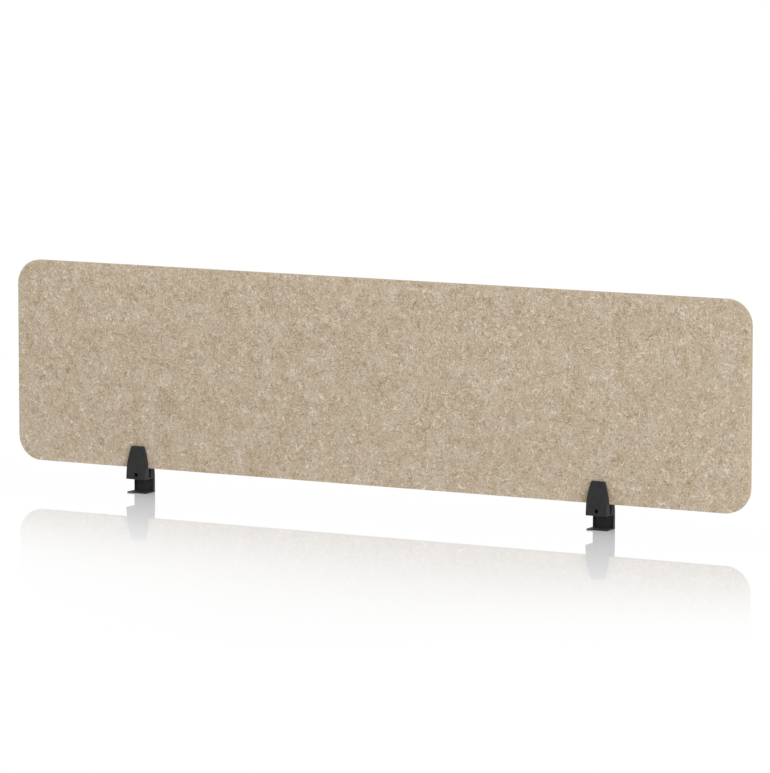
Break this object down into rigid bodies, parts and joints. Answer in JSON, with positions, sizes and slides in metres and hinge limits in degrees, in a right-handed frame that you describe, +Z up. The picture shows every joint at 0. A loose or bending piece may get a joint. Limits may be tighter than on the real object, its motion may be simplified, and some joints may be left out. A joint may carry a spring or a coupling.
{
  "type": "desk privacy panel",
  "caption": "Felt desk privacy panel with rounded corners, held by sliding clamps that hook over the edge of a desk top.",
  "frame": {"origin": "middle of the footprint, on the plane under the feet", "axes": "+X along the board, +Y away from the side with the screws, +Z up"},
  "size_m": [1.6, 0.0374, 0.45],
  "materials": {
    "felt": "heathered pressed felt",
    "powder_coat": "fine satin black powder coat",
    "black_oxide": "black oxide",
    "zinc": "bright zinc plate",
    "rubber": "matt moulded rubber"
  },
  "bodies": {
    "panel": {"felt_panel": "felt"},
    "left_clamp": {"left_desk_hook": "powder_coat", "left_rear_jaw": "powder_coat", "left_nut": "zinc", "left_rear_pad": "rubber", "left_guide_pins": "zinc", "left_jaw_fixings": "zinc"},
    "left_jaw": {"left_front_jaw": "powder_coat", "left_front_pad": "rubber"},
    "left_screw": {"left_pinch_screw": "black_oxide"},
    "right_clamp": {"right_desk_hook": "powder_coat", "right_rear_jaw": "powder_coat", "right_nut": "zinc", "right_rear_pad": "rubber", "right_guide_pins": "zinc", "right_jaw_fixings": "zinc"},
    "right_jaw": {"right_front_jaw": "powder_coat", "right_front_pad": "rubber"},
    "right_screw": {"right_pinch_screw": "black_oxide"}
  },
  "joints": [
    {"name": "left_clamp_slide", "type": "slide", "parent": "panel", "child": "left_clamp", "axis": [1, 0, 0], "range_m": [-0.2, 0.4]},
    {"name": "left_jaw_slide", "type": "slide", "parent": "left_clamp", "child": "left_jaw", "axis": [0, -1, 0], "range_m": [0, 0.0028]},
    {"name": "left_screw_turn", "type": "hinge", "parent": "left_jaw", "child": "left_screw", "pos_m": [-0.521, 0, 0.0367], "axis": [0, -1, 0], "range_deg": [0, 1260]},
    {"name": "right_clamp_slide", "type": "slide", "parent": "panel", "child": "right_clamp", "axis": [1, 0, 0], "range_m": [-0.4, 0.2]},
    {"name": "right_jaw_slide", "type": "slide", "parent": "right_clamp", "child": "right_jaw", "axis": [0, -1, 0], "range_m": [0, 0.0028]},
    {"name": "right_screw_turn", "type": "hinge", "parent": "right_jaw", "child": "right_screw", "pos_m": [0.4905, 0, 0.0367], "axis": [0, -1, 0], "range_deg": [0, 1260]}
  ],
  "couplings": [
    {"joint": "left_screw_turn", "follows": "left_jaw_slide", "rad_per_m": 7854},
    {"joint": "right_screw_turn", "follows": "right_jaw_slide", "rad_per_m": 7854}
  ]
}
